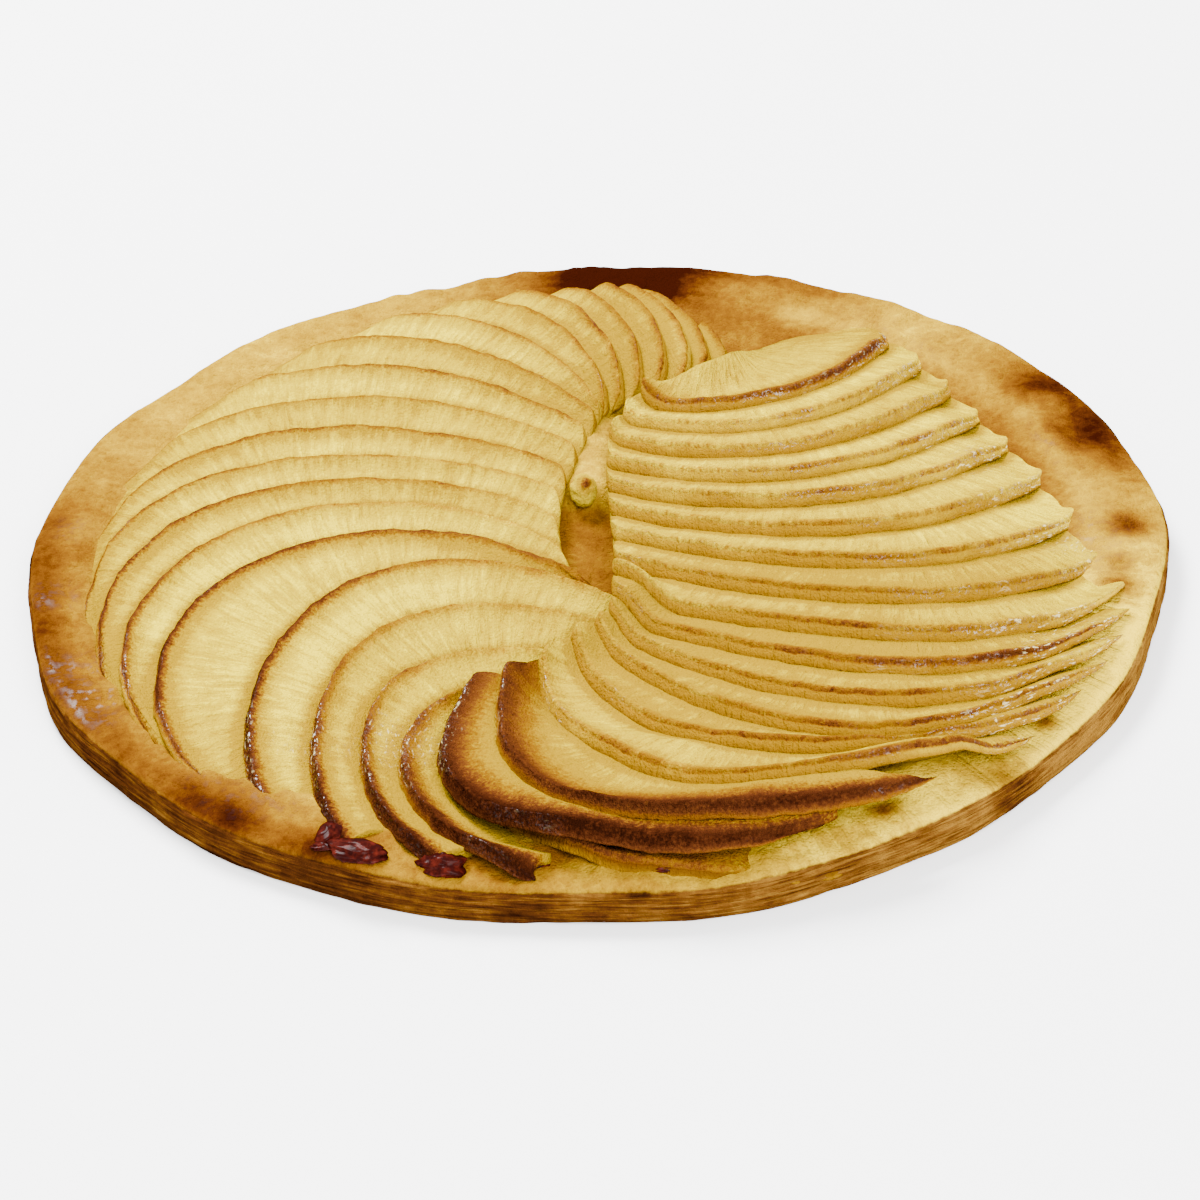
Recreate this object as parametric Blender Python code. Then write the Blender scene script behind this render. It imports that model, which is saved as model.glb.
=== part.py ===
"""Thin apple tart, 170 mm across: a puff pastry round with a raised rim, and on it two fans of
half-moon apple slices, each slice leaning on the one before it.

All sizes below are in millimetres. The tart rests on z = 0 with its centre on the z axis."""

import bpy
import numpy as np

MM = 0.001  # metres in a millimetre

# Pastry
RIM_RADIUS = 85.0
RIM_HEIGHT = 6.5
FLOOR_HEIGHT = 2.4
RIM_FOOT_RADIUS = 74.0  # where the floor starts to rise to the rim
RIM_CREST_RADIUS = 82.0
RIM_LUMP = 0.45  # how far the rim's height wanders
RIM_WAVES = (2, 3, 7, 12, 19)
OUTLINE_WANDER = 0.9  # how far its outline wanders
FLAKE_DEPTH = 0.45  # relief of the flaky layers on the side
PASTRY_SEGMENTS = 108
OUTLINE_WAVES = (2, 3, 5, 9, 14)
FLAKE_WAVES = (4, 9, 15, 22)
RIM_SEED = 11
OUTLINE_SEED = 12
FLAKE_SEED = 20
TOP_RING_RADII = (58.0, 72.0, 74.5, 76.5, 78.5, 80.5, 82.0)
SIDE_RINGS = (  # height as a share of the rim's, and how far the ring steps in
    (0.93, 0.7),
    (0.80, 0.1),
    (0.66, 0.5),
    (0.52, 0.0),
    (0.38, 0.6),
    (0.24, 0.1),
    (0.10, 0.5),
    (0.0, 1.2),
)

# Apple slices
SLICE_THICKNESS = 1.9
SLICE_GAP = 0.5  # clear space between two slices, and under the lowest
SLICE_RISE = SLICE_THICKNESS + SLICE_GAP  # how much higher each slice lies than the last
RIM_CLEARANCE = 0.5  # more clear space where slices lie on the rim
CLEARANCE_START = 66.0  # distance from the centre where it starts to grow
CLEARANCE_GROWTH = 8.0  # and over how far
LAST_SHARE = 0.95  # the slices' outer ends are cut short of the point by this
CELLS_ALONG = 13
CELLS_ACROSS = 4
END_CROWDING = 0.07  # how much closer the cells lie at both ends
SOFTNESS = 0.2  # how gently a slice bends from level to leaning, in slices
SPACING_WANDER = 0.1  # uneven spacing, in slices
SPACING_PACE = 5.3  # radians of the unevenness for each slice
OUTER_TAPER = 0.12  # share of the layers left at a slice's outer end
TAPER_POWER = 0.7  # below 1, the layers stay near their full number further towards the ends
LEFT_SLICES = range(0, 20)
UNDER_SLICES = range(0, 1)
RIGHT_SLICES = range(1, 17)

# The curved edge of a slice, from its inner end to its outer end, at some slice numbers:
# (number, inner end x and y, outer end's distance from the centre and bearing in degrees,
# bulge of the curve, and how far the bulge leans to the outer end, from -1 to 1).
LEFT_FAN = (
    (0, 19.0, 43.0, 77.0, 84.0, 8.0, 0.0),
    (2, 14.0, 41.5, 77.0, 88.0, 5.5, -0.1),
    (4, 7.8, 40.0, 77.0, 95.0, 5.0, -0.1),
    (6, 2.5, 37.0, 78.0, 110.0, 7.0, -0.2),
    (8, 0.8, 33.0, 78.0, 133.0, 6.5, 0.05),
    (10, -2.2, 24.2, 78.0, 161.5, 13.0, 0.1),
    (12, -5.0, 12.3, 78.0, 191.0, 22.3, 0.36),
    (14, -5.0, -5.3, 79.0, 219.0, 33.2, 0.05),
    (15, -2.0, -12.6, 80.0, 228.0, 34.3, 0.02),
    (16, 4.5, -19.0, 80.0, 235.5, 30.5, -0.3),
    (17, 2.5, -22.7, 82.0, 244.0, 26.0, -0.4),
    (19, -10.0, -33.0, 83.0, 264.0, 18.7, -0.25),
    (22, -16.0, -44.0, 79.0, 290.0, 9.0, 0.0),
)
UNDER_FAN = (
    (0, -16.5, -39.5, 80.0, 307.0, 31.0, -0.2),
    (1, -11.0, -42.0, 79.0, 311.0, 21.0, -0.15),
    (2, -4.0, -43.0, 78.0, 314.0, 8.0, 0.0),
)
RIGHT_FAN = (
    (1, -17.8, -39.5, 83.0, 288.5, 21.8, -0.4),
    (2, -12.5, -38.8, 83.0, 305.5, 25.0, -0.4),
    (3, -8.7, -33.5, 82.0, 316.5, 23.5, -0.15),
    (4, -4.3, -29.0, 81.5, 325.0, 23.5, 0.0),
    (6, 1.2, -23.9, 81.5, 336.5, 19.7, 0.2),
    (8, 2.0, -16.2, 80.0, 348.5, 16.5, 0.42),
    (10, 2.5, -1.0, 76.5, 369.0, 21.5, 0.4),
    (12, 1.9, 12.0, 74.5, 386.0, 20.0, 0.2),
    (14, 2.5, 26.0, 76.0, 400.5, 19.0, 0.05),
    (16, 7.7, 36.4, 79.0, 413.0, 15.7, 0.0),
    (19, 10.0, 40.0, 79.0, 424.0, 2.0, 0.0),
)
# (slice number, how many slices lie on each other there, share of them at the inner ends)
LEFT_LAYERS = (
    (0, 2.8, 0.5),
    (13, 2.8, 0.45),
    (16, 2.5, 0.3),
    (18, 1.7, 0.25),
    (20, 1.3, 0.2),
)
UNDER_LAYERS = ((0, 1.9, 0.3), (2, 1.9, 0.3))
RIGHT_LAYERS = (
    (1, 1.2, 0.95),
    (3, 1.5, 0.9),
    (5, 2.1, 0.75),
    (7, 2.5, 0.5),
    (9, 2.8, 0.65),
    (15, 2.8, 0.75),
    (18, 2.8, 0.4),
)

# Scrap of apple in the opening at the centre
SCRAP_CENTRE = (-1.7, 15.0, 5.9)
SCRAP_RADII = (2.2, 3.0, 2.6)
SCRAP_CUTS = (14, 8)  # around, and from pole to pole

# Finishes
SLICE_CREASE = 50.0  # degrees; sharper creases stay sharp
PASTRY_CREASE = 60.0
PASTRY_COLOUR = (0.62, 0.37, 0.15)
LEFT_APPLE_COLOUR = (0.68, 0.46, 0.18)
UNDER_APPLE_COLOUR = (0.72, 0.52, 0.22)
RIGHT_APPLE_COLOUR = (0.66, 0.42, 0.15)
SCRAP_COLOUR = (0.70, 0.44, 0.12)
PASTRY_ROUGHNESS = 0.6
APPLE_ROUGHNESS = 0.4

# Height map under the slices
CELL = 1.0
HALF_WIDTH = 90.0
COVER_SAMPLES = (60, 160)  # across and along a slice, close enough to reach every cell
SETTLE_STEPS = 10
PAD_RADIUS = 3.0  # a fan laid on another clears its edges by this much


def wander(angle, seed, waves):
    """Sum of sine waves round the tart with seeded phases, from about -1 to 1."""
    draw = np.random.default_rng(seed)
    phases = draw.uniform(0, 2 * np.pi, len(waves))
    total = sum(np.sin(n * angle + p) for n, p in zip(waves, phases))
    return total / np.sqrt(2.0 * len(waves))


def ease(t):
    """Smooth step from 0 to 1."""
    t = np.clip(t, 0.0, 1.0)
    return t * t * (3 - 2 * t)


def rim_height(angle):
    return RIM_HEIGHT + RIM_LUMP * wander(angle, RIM_SEED, RIM_WAVES)


def pastry_top(x, y):
    """Height of the pastry's upper face: a flat floor that rises to the uneven rim."""
    distance = np.hypot(x, y)
    slope = ease((distance - RIM_FOOT_RADIUS) / (RIM_CREST_RADIUS - RIM_FOOT_RADIUS))
    return FLOOR_HEIGHT + (rim_height(np.arctan2(y, x)) - FLOOR_HEIGHT) * slope


def through_keys(keys, column, number):
    """Smooth curve through one column of a table whose first column is the slice number."""
    at = np.array([row[0] for row in keys], float)
    value = np.array([row[column] for row in keys], float)
    step = np.diff(at)
    slope = np.diff(value) / step
    tangent = np.concatenate((slope[:1], slope[1:], slope[-1:]))
    tangent[1:-1] = (slope[:-1] * step[1:] + slope[1:] * step[:-1]) / (step[1:] + step[:-1])
    i = np.clip(np.searchsorted(at, number, side="right") - 1, 0, len(at) - 2)
    t = np.clip((number - at[i]) / step[i], 0.0, 1.0)
    start = (1 + 2 * t) * (1 - t) ** 2 * value[i] + t * (1 - t) ** 2 * step[i] * tangent[i]
    end = t * t * (3 - 2 * t) * value[i + 1] - t * t * (1 - t) * step[i] * tangent[i + 1]
    return start + end


def edge_curve(keys, number, share):
    """Plan point on the curved edge of a slice, share of the way from inner to outer end.
    The edge is an arc over the chord between the ends, on its clockwise side."""
    x0, y0, reach, bearing, bulge, lean = (through_keys(keys, c, number) for c in range(1, 7))
    x1 = reach * np.cos(np.radians(bearing))
    y1 = reach * np.sin(np.radians(bearing))
    length = np.hypot(x1 - x0, y1 - y0)
    along_x = (x1 - x0) / length
    along_y = (y1 - y0) / length
    radius = (length**2 / 4 + bulge**2) / (2 * bulge)
    half = 2 * np.arctan(2 * bulge / length)
    turn = half * (2 * share - 1)
    along = radius * np.sin(turn)
    out = radius * (np.cos(turn) - np.cos(half)) * (1 + lean * (2 * share - 1))
    return (
        (x0 + x1) / 2 + along * along_x + out * along_y,
        (y0 + y1) / 2 + along * along_y - out * along_x,
    )


def layers_at(layers, number, share):
    """How many slices lie on each other: fewer towards both ends."""
    at = [row[0] for row in layers]
    most = np.interp(number, at, [row[1] for row in layers])
    inner = np.interp(number, at, [row[2] for row in layers])
    middle = np.sin(np.pi * share) ** TAPER_POWER
    return most * (middle + (1 - middle) * (inner * (1 - share) + OUTER_TAPER * share))


def straight_side(layers, index, share):
    """Slice number at which slice index ends, where no slice lies under it any more."""
    number = np.full_like(share, index + 2.0)
    for _ in range(SETTLE_STEPS):
        number = index + layers_at(layers, number, share)
    return number


def soft_lower(a, b):
    """The lower of two values, rounded where they meet."""
    return -SOFTNESS * np.logaddexp(-a / SOFTNESS, -b / SOFTNESS)


def slice_surface(fan, index, across, share):
    """Underside of slice index: across runs from its curved edge to its straight side."""
    keys, layers, first, ground = fan
    offset = SPACING_WANDER * np.sin(SPACING_PACE * index)
    start = max(index + offset, keys[0][0])
    number = start + across * (straight_side(layers, index, share) - start)
    x, y = edge_curve(keys, number, share)
    below = layers_at(layers, number, share) - (number - index)
    level = soft_lower(float(index - first), below)
    return x, y, on_map(ground, x, y) + SLICE_RISE * level


def on_map(height, x, y):
    """Height map read at plan points, blended between its cells."""
    last = height.shape[0] - 2
    u = (x + HALF_WIDTH) / CELL
    v = (y + HALF_WIDTH) / CELL
    i = np.clip(u.astype(int), 0, last)
    j = np.clip(v.astype(int), 0, last)
    a = u - i
    b = v - j
    low = height[j, i] * (1 - a) + height[j, i + 1] * a
    high = height[j + 1, i] * (1 - a) + height[j + 1, i + 1] * a
    return low * (1 - b) + high * b


def neighbours(height, radius):
    """The map moved by every whole cell within a radius."""
    cells = int(radius / CELL)
    span = range(-cells, cells + 1)
    reach = radius / CELL
    near = [(p, q) for p in span for q in span if np.hypot(p, q) <= reach]
    return [np.roll(height, shift, (0, 1)) for shift in near]


def padded(height):
    """A smooth map that is nowhere lower than the given one."""
    widened = np.max(neighbours(height, PAD_RADIUS), axis=0)
    return np.mean(neighbours(widened, PAD_RADIUS), axis=0)


def cover(height, fan, indices):
    """The height map with a fan's slices laid on it."""
    across, share = np.meshgrid(*(np.linspace(0, 1, count) for count in COVER_SAMPLES))
    covered = height.copy()
    for index in indices:
        x, y, z = slice_surface(fan, index, across, LAST_SHARE * share)
        i = np.rint((x + HALF_WIDTH) / CELL).astype(int)
        j = np.rint((y + HALF_WIDTH) / CELL).astype(int)
        np.maximum.at(covered, (j, i), z + SLICE_THICKNESS)
    return covered


def add_object(name, points, faces, material, crease):
    """Mesh object from points in millimetres, shaded smooth except over sharp creases."""
    mesh = bpy.data.meshes.new(name)
    mesh.from_pydata((np.asarray(points) * MM).tolist(), [], faces)
    mesh.materials.append(material)
    mesh.shade_smooth()
    mesh.set_sharp_from_angle(angle=np.radians(crease))
    bpy.context.scene.collection.objects.link(bpy.data.objects.new(name, mesh))


def band(lower, upper, closed=False):
    """Quads between two rows of point numbers, facing the viewer who sees them in this order."""
    rows = [np.append(row, row[0]) if closed else row for row in (lower, upper)]
    low, high = (row.tolist() for row in rows)
    return [(low[i], low[i + 1], high[i + 1], high[i]) for i in range(len(low) - 1)]


def triangles(quads):
    """Each quad as two triangles, split the same way."""
    return [part for a, b, c, d in quads for part in ((a, b, c), (a, c, d))]


def add_slice(name, fan, index, material):
    """Closed slice: an upper and a lower grid, and a wall round them."""
    along = np.linspace(0.0, 1.0, CELLS_ALONG + 1)
    along -= END_CROWDING * np.sin(2 * np.pi * along)
    across, share = np.meshgrid(np.linspace(0.0, 1.0, CELLS_ACROSS + 1), LAST_SHARE * along)
    low = np.stack(slice_surface(fan, index, across, share), axis=-1).reshape(-1, 3)
    high = low + (0.0, 0.0, SLICE_THICKNESS)
    number = np.arange(len(low)).reshape(across.shape)
    grid = [quad for row in range(CELLS_ALONG) for quad in band(number[row + 1], number[row])]
    border = np.concatenate(
        (number[:-1, 0], number[-1, :-1], number[:0:-1, -1], number[0, :0:-1])
    )
    top = [tuple(i + len(low) for i in face) for face in triangles(grid)]
    bottom = [face[::-1] for face in triangles(grid)]
    wall = triangles(band(border, border + len(low), closed=True))
    add_object(name, np.concatenate((low, high)), top + bottom + wall, material, SLICE_CREASE)


def ring(angle, distance, height):
    """Points at an angle, a distance from the centre and a height."""
    x = distance * np.cos(angle)
    y = distance * np.sin(angle)
    return np.stack((x, y, height + 0.0 * angle), axis=-1)


def side_ring(angle, level, share, inset):
    """Ring on the flaky side. The outline wanders, and stays centred on the tart's axis."""
    outline = RIM_RADIUS - OUTLINE_WANDER + OUTLINE_WANDER * wander(angle, OUTLINE_SEED, OUTLINE_WAVES)
    edge = ring(angle, outline, 0.0)
    centre = (edge.max(axis=0) + edge.min(axis=0)) / 2
    flakes = FLAKE_DEPTH * wander(angle, FLAKE_SEED + level, FLAKE_WAVES)
    points = ring(angle, outline - inset - np.maximum(flakes, 0.0), share * rim_height(angle))
    return points - centre


def add_pastry(material):
    """Closed pastry round: flat floor, rim, flaky side and flat base."""
    angle = np.linspace(0.0, 2 * np.pi, PASTRY_SEGMENTS, endpoint=False)
    rings = [
        ring(angle, distance, pastry_top(distance * np.cos(angle), distance * np.sin(angle)))
        for distance in TOP_RING_RADII
    ]
    rings += [side_ring(angle, level, *side) for level, side in enumerate(SIDE_RINGS)]
    number = np.arange(len(rings) * PASTRY_SEGMENTS).reshape(len(rings), PASTRY_SEGMENTS)
    faces = [tuple(number[0].tolist()), tuple(number[-1, ::-1].tolist())]
    for row in range(len(rings) - 1):
        faces += triangles(band(number[row + 1], number[row], closed=True))
    add_object("pastry", np.concatenate(rings), faces, material, PASTRY_CREASE)


def add_scrap(material):
    """Rounded scrap of apple, as a squashed ball."""
    around, levels = SCRAP_CUTS
    angle = np.linspace(0.0, 2 * np.pi, around, endpoint=False)
    tilt = np.linspace(-np.pi / 2, np.pi / 2, levels + 1)[1:-1]
    rings = [ring(angle, np.cos(t), np.sin(t)) for t in tilt]
    poles = ((0.0, 0.0, -1.0), (0.0, 0.0, 1.0))
    points = np.concatenate(rings + [np.array(poles)])
    number = np.arange(len(tilt) * around).reshape(len(tilt), around)
    faces = []
    for row in range(len(tilt) - 1):
        faces += triangles(band(number[row], number[row + 1], closed=True))
    base = len(tilt) * around
    faces += [(base, b, a) for a, b, _, _ in band(number[0], number[0], closed=True)]
    faces += [(base + 1, a, b) for a, b, _, _ in band(number[-1], number[-1], closed=True)]
    add_object("centre_scrap", points * SCRAP_RADII + SCRAP_CENTRE, faces, material, 180.0)


def make_material(name, colour, roughness):
    material = bpy.data.materials.new(name)
    material.use_nodes = True
    shader = material.node_tree.nodes["Principled BSDF"]
    shader.inputs["Base Color"].default_value = (*colour, 1.0)
    shader.inputs["Roughness"].default_value = roughness
    shader.inputs["Metallic"].default_value = 0.0
    return material


def clear_scene():
    for thing in list(bpy.context.scene.objects):
        bpy.data.objects.remove(thing, do_unlink=True)


def main():
    clear_scene()
    pastry = make_material("pastry", PASTRY_COLOUR, PASTRY_ROUGHNESS)
    left = make_material("left_apple", LEFT_APPLE_COLOUR, APPLE_ROUGHNESS)
    under = make_material("under_apple", UNDER_APPLE_COLOUR, APPLE_ROUGHNESS)
    right = make_material("right_apple", RIGHT_APPLE_COLOUR, APPLE_ROUGHNESS)
    scrap = make_material("scrap_apple", SCRAP_COLOUR, APPLE_ROUGHNESS)

    add_pastry(pastry)
    axis = np.arange(-HALF_WIDTH, HALF_WIDTH + CELL / 2, CELL)
    x, y = np.meshgrid(axis, axis)
    clearance = RIM_CLEARANCE * ease((np.hypot(x, y) - CLEARANCE_START) / CLEARANCE_GROWTH)
    laid = pastry_top(x, y) + clearance
    stack = (
        ("left", LEFT_FAN, LEFT_LAYERS, LEFT_SLICES, left),
        ("under", UNDER_FAN, UNDER_LAYERS, UNDER_SLICES, under),
        ("right", RIGHT_FAN, RIGHT_LAYERS, RIGHT_SLICES, right),
    )
    for label, keys, layers, indices, material in stack:
        ground = (laid if label == "left" else padded(laid)) + SLICE_GAP
        fan = (keys, layers, indices[0], ground)
        for index in indices:
            add_slice(f"{label}_slice_{index + 1 - indices[0]:02d}", fan, index, material)
        laid = cover(laid, fan, indices)
    add_scrap(scrap)


main()
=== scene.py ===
"""Dresses the thin apple tart: baked pastry, two fans of apple slices with browned edges, charred
bits on the rim, and a scrap of apple at the centre.

Lengths in this file are millimetres until a mesh is made; the frame is in metres."""

import bpy
import numpy as np
from mathutils import Matrix, Vector


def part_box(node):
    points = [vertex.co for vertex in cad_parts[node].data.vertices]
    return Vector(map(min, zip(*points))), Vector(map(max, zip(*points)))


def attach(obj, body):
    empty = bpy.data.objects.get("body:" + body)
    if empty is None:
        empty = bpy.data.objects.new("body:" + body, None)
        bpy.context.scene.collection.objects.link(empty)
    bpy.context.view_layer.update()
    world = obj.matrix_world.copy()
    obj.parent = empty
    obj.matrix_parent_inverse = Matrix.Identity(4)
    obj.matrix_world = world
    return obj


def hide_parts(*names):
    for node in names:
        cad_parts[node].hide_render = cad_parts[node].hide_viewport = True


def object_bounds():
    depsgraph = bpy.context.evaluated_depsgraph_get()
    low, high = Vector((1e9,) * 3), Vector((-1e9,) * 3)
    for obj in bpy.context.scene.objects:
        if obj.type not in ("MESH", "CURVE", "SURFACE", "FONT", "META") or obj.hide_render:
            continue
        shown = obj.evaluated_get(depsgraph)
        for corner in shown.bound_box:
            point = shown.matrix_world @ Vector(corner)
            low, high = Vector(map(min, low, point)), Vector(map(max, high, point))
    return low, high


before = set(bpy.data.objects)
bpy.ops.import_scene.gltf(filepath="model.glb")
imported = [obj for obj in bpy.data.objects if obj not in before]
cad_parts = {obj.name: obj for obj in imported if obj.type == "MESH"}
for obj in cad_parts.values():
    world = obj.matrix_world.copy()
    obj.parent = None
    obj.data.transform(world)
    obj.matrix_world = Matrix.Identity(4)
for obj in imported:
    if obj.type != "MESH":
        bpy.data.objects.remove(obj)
CAD_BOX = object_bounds()
MM = 0.001

# Layout of the slices, as in the part's own source
RIM_RADIUS = 85.0
RIM_HEIGHT = 6.5
FLOOR_HEIGHT = 2.4
RIM_FOOT_RADIUS = 74.0
RIM_CREST_RADIUS = 82.0
RIM_LUMP = 0.45
RIM_WAVES = (2, 3, 7, 12, 19)
OUTLINE_WANDER = 0.9
OUTLINE_WAVES = (2, 3, 5, 9, 14)
RIM_SEED = 11
OUTLINE_SEED = 12
SLICE_THICKNESS = 1.9
SLICE_GAP = 0.5
SLICE_RISE = SLICE_THICKNESS + SLICE_GAP
RIM_CLEARANCE = 0.5
CLEARANCE_START = 66.0
CLEARANCE_GROWTH = 8.0
LAST_SHARE = 0.95
SOFTNESS = 0.2
SPACING_WANDER = 0.1
SPACING_PACE = 5.3
OUTER_TAPER = 0.12
TAPER_POWER = 0.7
LEFT_SLICES = range(0, 20)
UNDER_SLICES = range(0, 1)
RIGHT_SLICES = range(1, 17)
# Curved edges: slice number, inner end x and y, outer end's distance and bearing, bulge, lean
LEFT_FAN = (
    (0, 19.0, 43.0, 77.0, 84.0, 8.0, 0.0),
    (2, 14.0, 41.5, 77.0, 88.0, 5.5, -0.1),
    (4, 7.8, 40.0, 77.0, 95.0, 5.0, -0.1),
    (6, 2.5, 37.0, 78.0, 110.0, 7.0, -0.2),
    (8, 0.8, 33.0, 78.0, 133.0, 6.5, 0.05),
    (10, -2.2, 24.2, 78.0, 161.5, 13.0, 0.1),
    (12, -5.0, 12.3, 78.0, 191.0, 22.3, 0.36),
    (14, -5.0, -5.3, 79.0, 219.0, 33.2, 0.05),
    (15, -2.0, -12.6, 80.0, 228.0, 34.3, 0.02),
    (16, 4.5, -19.0, 80.0, 235.5, 30.5, -0.3),
    (17, 2.5, -22.7, 82.0, 244.0, 26.0, -0.4),
    (19, -10.0, -33.0, 83.0, 264.0, 18.7, -0.25),
    (22, -16.0, -44.0, 79.0, 290.0, 9.0, 0.0),
)
UNDER_FAN = (
    (0, -16.5, -39.5, 80.0, 307.0, 31.0, -0.2),
    (1, -11.0, -42.0, 79.0, 311.0, 21.0, -0.15),
    (2, -4.0, -43.0, 78.0, 314.0, 8.0, 0.0),
)
RIGHT_FAN = (
    (1, -17.8, -39.5, 83.0, 288.5, 21.8, -0.4),
    (2, -12.5, -38.8, 83.0, 305.5, 25.0, -0.4),
    (3, -8.7, -33.5, 82.0, 316.5, 23.5, -0.15),
    (4, -4.3, -29.0, 81.5, 325.0, 23.5, 0.0),
    (6, 1.2, -23.9, 81.5, 336.5, 19.7, 0.2),
    (8, 2.0, -16.2, 80.0, 348.5, 16.5, 0.42),
    (10, 2.5, -1.0, 76.5, 369.0, 21.5, 0.4),
    (12, 1.9, 12.0, 74.5, 386.0, 20.0, 0.2),
    (14, 2.5, 26.0, 76.0, 400.5, 19.0, 0.05),
    (16, 7.7, 36.4, 79.0, 413.0, 15.7, 0.0),
    (19, 10.0, 40.0, 79.0, 424.0, 2.0, 0.0),
)
# Slice number, slices lying on each other there, share of them at the inner ends
LEFT_LAYERS = (
    (0, 2.8, 0.5),
    (13, 2.8, 0.45),
    (16, 2.5, 0.3),
    (18, 1.7, 0.25),
    (20, 1.3, 0.2),
)
UNDER_LAYERS = ((0, 1.9, 0.3), (2, 1.9, 0.3))
RIGHT_LAYERS = (
    (1, 1.2, 0.95),
    (3, 1.5, 0.9),
    (5, 2.1, 0.75),
    (7, 2.5, 0.5),
    (9, 2.8, 0.65),
    (15, 2.8, 0.75),
    (18, 2.8, 0.4),
)
CELL = 1.0
HALF_WIDTH = 90.0
COVER_SAMPLES = (60, 160)
SETTLE_STEPS = 10
PAD_RADIUS = 3.0

# Browning of each slice's curved edge: strength at five places from the inner end to the outer
# end, 0 for pale and 1 for charred, then how far it spreads in from the edge
LEFT_BAKE = (
    (0.18, 0.30, 0.38, 0.42, 0.44, 1.1),
    (0.18, 0.32, 0.38, 0.42, 0.44, 1.1),
    (0.18, 0.32, 0.38, 0.42, 0.42, 1.1),
    (0.18, 0.32, 0.38, 0.40, 0.40, 1.0),
    (0.18, 0.34, 0.40, 0.40, 0.40, 1.0),
    (0.18, 0.36, 0.44, 0.40, 0.36, 1.0),
    (0.16, 0.30, 0.36, 0.34, 0.30, 0.8),
    (0.15, 0.36, 0.42, 0.38, 0.34, 0.8),
    (0.15, 0.36, 0.44, 0.42, 0.36, 0.8),
    (0.28, 0.54, 0.56, 0.44, 0.38, 0.8),
    (0.12, 0.30, 0.38, 0.40, 0.36, 0.7),
    (0.28, 0.54, 0.62, 0.64, 0.50, 0.8),
    (0.10, 0.28, 0.44, 0.70, 0.50, 0.7),
    (0.10, 0.28, 0.60, 0.86, 0.56, 0.9),
    (0.08, 0.20, 0.44, 0.80, 0.45, 0.9),
    (0.40, 0.62, 0.84, 0.94, 0.50, 1.1),
    (0.10, 0.36, 0.80, 0.94, 0.85, 1.2),
    (0.06, 0.20, 0.44, 0.80, 1.08, 1.3),
    (0.06, 0.22, 0.58, 0.90, 1.12, 1.4),
    (0.25, 0.45, 0.70, 0.95, 1.10, 2.2),
)
# The under slice is browned across its width, most at its inner end; this is partly painted shade, as it lies
# under right_slice_01
UNDER_BAKE = ((0.85, 0.80, 0.60, 0.16, 0.05, 16.0),)
RIGHT_BAKE = (
    (0.72, 0.98, 1.08, 1.02, 0.90, 4.4),
    (0.60, 0.80, 0.88, 0.92, 0.80, 4.6),
    (0.12, 0.26, 0.32, 0.50, 0.45, 1.1),
    (0.08, 0.22, 0.30, 0.40, 0.34, 1.0),
    (0.05, 0.16, 0.44, 0.30, 0.14, 0.8),
    (0.03, 0.12, 0.24, 0.26, 0.10, 0.7),
    (0.03, 0.20, 0.54, 0.60, 0.10, 1.0),
    (0.03, 0.12, 0.22, 0.20, 0.05, 0.8),
    (0.03, 0.15, 0.32, 0.30, 0.05, 0.8),
    (0.03, 0.15, 0.34, 0.22, 0.05, 0.8),
    (0.03, 0.10, 0.20, 0.14, 0.04, 0.8),
    (0.03, 0.12, 0.30, 0.20, 0.04, 0.8),
    (0.03, 0.10, 0.18, 0.22, 0.05, 0.9),
    (0.03, 0.08, 0.12, 0.12, 0.06, 0.9),
    (0.05, 0.10, 0.14, 0.14, 0.10, 0.9),
    (0.35, 0.50, 0.60, 0.66, 0.55, 1.2),
)

# How browned the rim is at every twelfth degree of bearing, 0 for cream and 1 for charred
RIM_BROWN = (
    0.28, 0.46, 0.50, 0.40, 0.24, 0.40, 0.52, 1.00, 0.52, 0.30,
    0.28, 0.24, 0.26, 0.34, 0.46, 0.50, 0.52, 0.50, 0.44, 0.40,
    0.46, 0.46, 0.42, 0.32, 0.18, 0.04, -0.05, -0.08, -0.05, 0.08,
)

# How golden the fruit is: x, y, radius, strength. The first spot is painted shade in the gap between
# left_slice_20 and right_slice_01
GOLD_SPOTS = (
    (-14.0, -67.0, 9.0, 1.1),
    (0.0, 0.0, 400.0, 0.44),
    (-48.0, -20.0, 28.0, -0.22),
    (62.0, 10.0, 32.0, -0.12),
    (0.0, 50.0, 40.0, 0.05),
    (40.0, 62.0, 22.0, 0.10),
    (15.0, -35.0, 26.0, 0.38),
    (45.0, -30.0, 22.0, 0.36),
    (37.0, 62.0, 7.0, 0.60),
    (20.0, -72.0, 16.0, 0.25),
)
# How much glaze lies there, in the same way; on the fruit the same spots also place painted highlights
GLAZE_SPOTS = (
    (-78.0, -28.0, 6.0, 0.55),
    (-73.0, -37.0, 5.0, 0.55),
    (8.0, -62.0, 20.0, -0.3),
    (-81.0, -8.0, 4.0, 0.5),
    (-79.0, 10.0, 4.0, 0.4),
    (-45.0, -52.0, 12.0, 0.4),
    (-27.0, -50.0, 10.0, 0.6),
    (58.0, -55.0, 8.0, 0.6),
    (66.0, -35.0, 10.0, 0.8),
    (72.0, -8.0, 10.0, 0.6),
    (45.0, 50.0, 16.0, 0.4),
    (60.0, 15.0, 14.0, 0.5),
    (-5.0, -48.0, 9.0, 0.4),
)
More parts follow.
